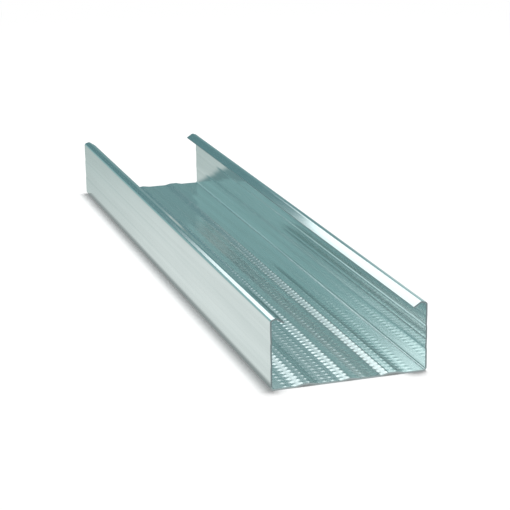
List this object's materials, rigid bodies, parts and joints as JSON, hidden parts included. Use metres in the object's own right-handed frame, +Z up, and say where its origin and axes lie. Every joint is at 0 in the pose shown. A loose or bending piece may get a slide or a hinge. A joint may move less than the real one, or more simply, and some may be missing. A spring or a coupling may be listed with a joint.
{
  "type": "ceiling channel",
  "caption": "Lipped steel channel for hung ceilings, roll-formed from one thin zinc-coated strip, with beads along its dimpled web, shallow grooves along its flanges and roof-shaped lips.",
  "frame": {"origin": "on the underside of the web, in the middle of its width and halfway along the length", "axes": "+X across the web, +Y along the length, +Z up towards the open side between the lips"},
  "size_m": [0.06, 0.3, 0.027],
  "materials": {
    "galvanised_steel": "smooth zinc coating, semi-gloss, faint lengthwise rolling marks"
  },
  "bodies": {
    "root": {"ceiling_channel": "galvanised_steel"}
  },
  "joints": []
}
